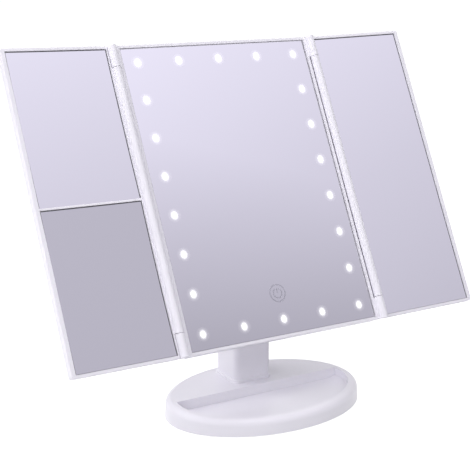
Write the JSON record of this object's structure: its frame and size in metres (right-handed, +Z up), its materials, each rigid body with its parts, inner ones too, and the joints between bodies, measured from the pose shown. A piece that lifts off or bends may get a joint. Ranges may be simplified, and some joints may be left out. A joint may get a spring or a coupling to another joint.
{
  "type": "trifold vanity mirror",
  "caption": "Free-standing trifold make-up mirror on an oval tray base: a lit middle glass with a touch button, folding wings and a tilting head.",
  "frame": {"origin": "middle of the underside of the base, where it stands on the table", "axes": "+Z up, +X to the right as seen from in front, +Y to the back"},
  "size_m": [0.3464, 0.1396, 0.2732],
  "materials": {
    "white_plastic": "smooth satin-gloss moulded plastic",
    "mirror": "silvered glass",
    "lamp": "frosted, lit from behind",
    "steel": "plated",
    "rubber": "matt",
    "tape": "foam",
    "cell_jacket": "plain printed jacket, no lettering",
    "circuit_board": "solder mask",
    "light_board": "white solder mask"
  },
  "bodies": {
    "base": {"base_pad": "rubber", "base_plate": "white_plastic", "base_weight": "steel", "base_shell": "white_plastic", "base_screws": "steel", "post": "white_plastic", "post_panel": "white_plastic", "post_screws": "steel", "panel_screws": "steel"},
    "head": {"tilt_bolt": "steel", "tilt_nut": "steel", "friction_washers": "rubber", "hinge_caps": "white_plastic", "rear_cover": "white_plastic", "rear_screws": "steel", "battery_cells": "cell_jacket", "battery_contacts": "steel", "control_board": "circuit_board", "usb_socket": "steel", "led_strips": "light_board", "leds": "lamp", "touch_sensor": "circuit_board", "centre_frame": "white_plastic", "centre_tape": "tape", "centre_glass": "mirror", "light_windows": "lamp", "left_hinge_pins": "steel", "right_hinge_pins": "steel"},
    "left_wing": {"left_wing_frame": "white_plastic", "left_tape": "tape", "left_upper_glass": "mirror", "left_lower_glass": "mirror"},
    "right_wing": {"right_wing_frame": "white_plastic", "right_tape": "tape", "right_glass": "mirror"},
    "battery_door": {"battery_door": "white_plastic"}
  },
  "joints": [
    {"name": "head_tilt", "type": "hinge", "parent": "base", "child": "head", "pos_m": [0, 0.0297, 0.1252], "axis": [1, 0, 0], "range_deg": [-62, 28.5]},
    {"name": "left_fold", "type": "hinge", "parent": "head", "child": "left_wing", "pos_m": [-0.087, 0.01908, 0.16873], "axis": [0, 0.4679, 0.8838], "range_deg": [-3, 177]},
    {"name": "right_fold", "type": "hinge", "parent": "head", "child": "right_wing", "pos_m": [0.087, 0.01908, 0.16873], "axis": [0, -0.4679, -0.8838], "range_deg": [-3, 177]},
    {"name": "door_slide", "type": "slide", "parent": "head", "child": "battery_door", "axis": [0, 0.4679, 0.8838], "range_m": [0, 0.055]}
  ]
}
